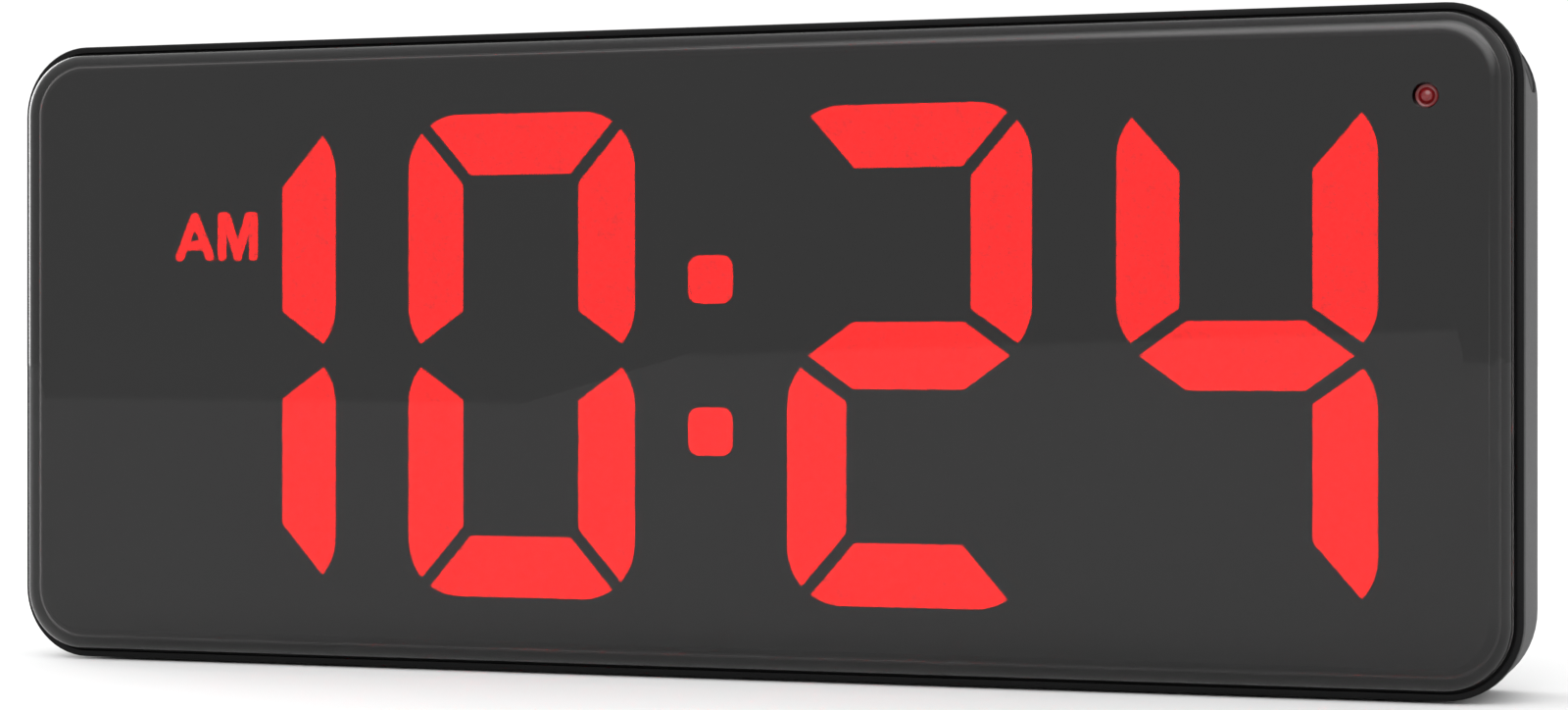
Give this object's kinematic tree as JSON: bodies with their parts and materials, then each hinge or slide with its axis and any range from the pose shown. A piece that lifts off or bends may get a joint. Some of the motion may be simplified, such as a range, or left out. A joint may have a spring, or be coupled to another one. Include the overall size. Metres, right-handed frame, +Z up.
{
  "type": "digital alarm clock",
  "caption": "Wide, thin LED alarm clock: pillow-edged tinted lens over red seven-segment digits, snooze bar on top, buttons, battery door and folding stand behind.",
  "frame": {"origin": "middle of the clock's footprint, on the surface its rubber feet stand on", "axes": "+X to the right of someone facing the display, the display looks along -Y, +Z up"},
  "size_m": [0.252, 0.032, 0.102],
  "materials": {
    "tinted_lens": "dark tinted acrylic, satin gloss",
    "frame_plastic": "fine satin black ABS",
    "housing_plastic": "fine satin black ABS",
    "trim_gloss": "polished black",
    "adhesive_foam": "black foam tape",
    "sensor_window": "clear dark red",
    "sensor_cell": "clear epoxy over a chip",
    "reflector_black": "matt black, masks the light between segments",
    "segment_red": "lit red diffuser",
    "circuit_board": "green solder mask",
    "component_black": "moulded black component",
    "bright_steel": "nickel-plated steel",
    "button_grey": "dark grey, slightly soft",
    "cover_plastic": "fine satin black ABS",
    "stand_plastic": "fine satin black ABS",
    "rubber_black": "matt black rubber",
    "screw_black": "black zinc"
  },
  "bodies": {
    "case": {"alarm_switch": "component_black", "am_pm_diffuser": "segment_red", "am_pm_reflector": "reflector_black", "battery_holder": "component_black", "board_connector": "component_black", "buzzer": "component_black", "case_screw_lower_left": "screw_black", "case_screw_lower_right": "screw_black", "case_screw_upper_left": "screw_black", "case_screw_upper_right": "screw_black", "coin_cell": "bright_steel", "colon_diffuser": "segment_red", "colon_reflector": "reflector_black", "control_board": "circuit_board", "crystal": "bright_steel", "display_board": "circuit_board", "down_switch": "component_black", "foot_front_left": "rubber_black", "foot_front_right": "rubber_black", "foot_rear_left": "rubber_black", "foot_rear_right": "rubber_black", "front_frame": "frame_plastic", "front_lens": "tinted_lens", "hour_tens_diffuser": "segment_red", "hour_tens_reflector": "reflector_black", "hour_units_diffuser": "segment_red", "hour_units_reflector": "reflector_black", "jack_pin": "bright_steel", "led_driver": "component_black", "lens_adhesive": "adhesive_foam", "light_sensor": "sensor_cell", "microcontroller": "component_black", "minute_tens_diffuser": "segment_red", "minute_tens_reflector": "reflector_black", "minute_units_diffuser": "segment_red", "minute_units_reflector": "reflector_black", "negative_contact": "bright_steel", "positive_contact": "bright_steel", "power_jack": "component_black", "rear_housing": "housing_plastic", "sensor_window": "sensor_window", "slide_switch": "bright_steel", "snooze_switch": "component_black", "stand_pin": "bright_steel", "time_switch": "component_black", "top_trim_left": "trim_gloss", "top_trim_right": "trim_gloss", "up_switch": "component_black"},
    "snooze_bar": {"snooze_bar": "trim_gloss"},
    "slide_knob": {"slide_knob": "button_grey"},
    "battery_cover": {"battery_cover": "cover_plastic"},
    "stand": {"stand_leg": "stand_plastic", "stand_pad": "rubber_black"},
    "time_button": {"time_button": "button_grey"},
    "alarm_button": {"alarm_button": "button_grey"},
    "up_button": {"up_button": "button_grey"},
    "down_button": {"down_button": "button_grey"}
  },
  "joints": [
    {"name": "snooze_press", "type": "slide", "parent": "case", "child": "snooze_bar", "axis": [0, 0, -1], "range_m": [0, 0.0009], "stiffness_N_per_m": 600, "springref_m": -0.0015},
    {"name": "time_press", "type": "slide", "parent": "case", "child": "time_button", "axis": [0, -1, 0], "range_m": [0, 0.0008], "stiffness_N_per_m": 500, "springref_m": -0.001},
    {"name": "alarm_press", "type": "slide", "parent": "case", "child": "alarm_button", "axis": [0, -1, 0], "range_m": [0, 0.0008], "stiffness_N_per_m": 500, "springref_m": -0.001},
    {"name": "up_press", "type": "slide", "parent": "case", "child": "up_button", "axis": [0, -1, 0], "range_m": [0, 0.0008], "stiffness_N_per_m": 500, "springref_m": -0.001},
    {"name": "down_press", "type": "slide", "parent": "case", "child": "down_button", "axis": [0, -1, 0], "range_m": [0, 0.0008], "stiffness_N_per_m": 500, "springref_m": -0.001},
    {"name": "alarm_slide", "type": "slide", "parent": "case", "child": "slide_knob", "axis": [1, 0, 0], "range_m": [0, 0.003]},
    {"name": "battery_cover_slide", "type": "slide", "parent": "case", "child": "battery_cover", "axis": [-1, 0, 0], "range_m": [0, 0.005]},
    {"name": "stand_hinge", "type": "hinge", "parent": "case", "child": "stand", "pos_m": [0, 0.0139, 0.06], "axis": [1, 0, 0], "range_deg": [0, 50]}
  ]
}
